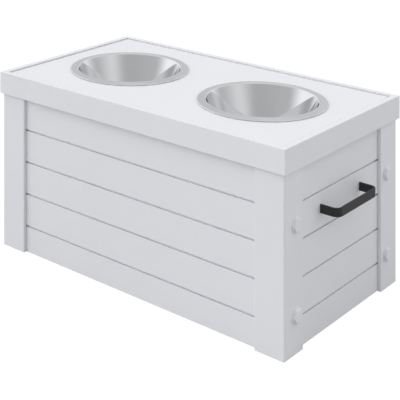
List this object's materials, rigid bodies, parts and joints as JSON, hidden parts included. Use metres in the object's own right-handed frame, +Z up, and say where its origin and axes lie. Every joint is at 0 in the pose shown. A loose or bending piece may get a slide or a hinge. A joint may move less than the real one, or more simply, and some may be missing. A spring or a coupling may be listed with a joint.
{
  "type": "elevated dog feeder with storage",
  "caption": "Raised dog feeder: a lift-off lid carries steel food bowls over a board-sided storage chest with corner posts and black pull handles at its ends.",
  "frame": {"origin": "middle of the chest's footprint, on the floor it stands on", "axes": "+X along the length to the right handle, +Y from front to back, +Z up"},
  "size_m": [0.643, 0.35, 0.3118],
  "materials": {
    "painted_board": "smooth pale grey-white satin paint on composite board",
    "inner_board": "the same paint, thinner and flatter, on the pieces out of sight",
    "cap_plastic": "moulded pale grey-white plastic",
    "bowl_steel": "satin stainless steel, spun inside and polished on the rim",
    "fastener_steel": "zinc plated steel",
    "handle_paint": "satin black powder coat"
  },
  "bodies": {
    "chest": {"post_front_left": "painted_board", "post_front_right": "painted_board", "post_back_left": "painted_board", "post_back_right": "painted_board", "front_board_1": "painted_board", "front_board_2": "painted_board", "front_board_3": "painted_board", "front_board_4": "painted_board", "front_board_5": "painted_board", "back_board_1": "painted_board", "back_board_2": "painted_board", "back_board_3": "painted_board", "back_board_4": "painted_board", "back_board_5": "painted_board", "left_board_1": "painted_board", "left_board_2": "painted_board", "left_board_3": "painted_board", "left_board_4": "painted_board", "left_board_5": "painted_board", "right_board_1": "painted_board", "right_board_2": "painted_board", "right_board_3": "painted_board", "right_board_4": "painted_board", "right_board_5": "painted_board", "batten_front_left": "inner_board", "batten_front_right": "inner_board", "batten_back_left": "inner_board", "batten_back_right": "inner_board", "batten_screws": "fastener_steel", "floor_panel": "inner_board", "floor_cleat_front": "inner_board", "floor_cleat_back": "inner_board", "floor_cleat_left": "inner_board", "floor_cleat_right": "inner_board", "frame_bolts": "fastener_steel", "bolt_washers": "fastener_steel", "bolt_inserts": "fastener_steel", "bolt_caps": "cap_plastic", "handle_left": "handle_paint", "handle_right": "handle_paint", "handle_screws": "fastener_steel"},
    "lid": {"lid_rail_front": "painted_board", "lid_rail_back": "painted_board", "lid_rail_left": "painted_board", "lid_rail_right": "painted_board", "lid_panel": "painted_board", "lid_ledger_front": "inner_board", "lid_ledger_back": "inner_board", "lid_ledger_left": "inner_board", "lid_ledger_right": "inner_board", "lid_locator_front": "inner_board", "lid_locator_back": "inner_board", "lid_locator_left": "inner_board", "lid_locator_right": "inner_board", "lid_screws": "fastener_steel"},
    "left_bowl": {"bowl_left": "bowl_steel"},
    "right_bowl": {"bowl_right": "bowl_steel"}
  },
  "joints": [
    {"name": "lid_lift", "type": "slide", "parent": "chest", "child": "lid", "axis": [0, 0, 1], "range_m": [0, 0.12]},
    {"name": "bowl_left_lift", "type": "slide", "parent": "lid", "child": "left_bowl", "axis": [0, 0, 1], "range_m": [0, 0.08]},
    {"name": "bowl_right_lift", "type": "slide", "parent": "lid", "child": "right_bowl", "axis": [0, 0, 1], "range_m": [0, 0.08]}
  ]
}
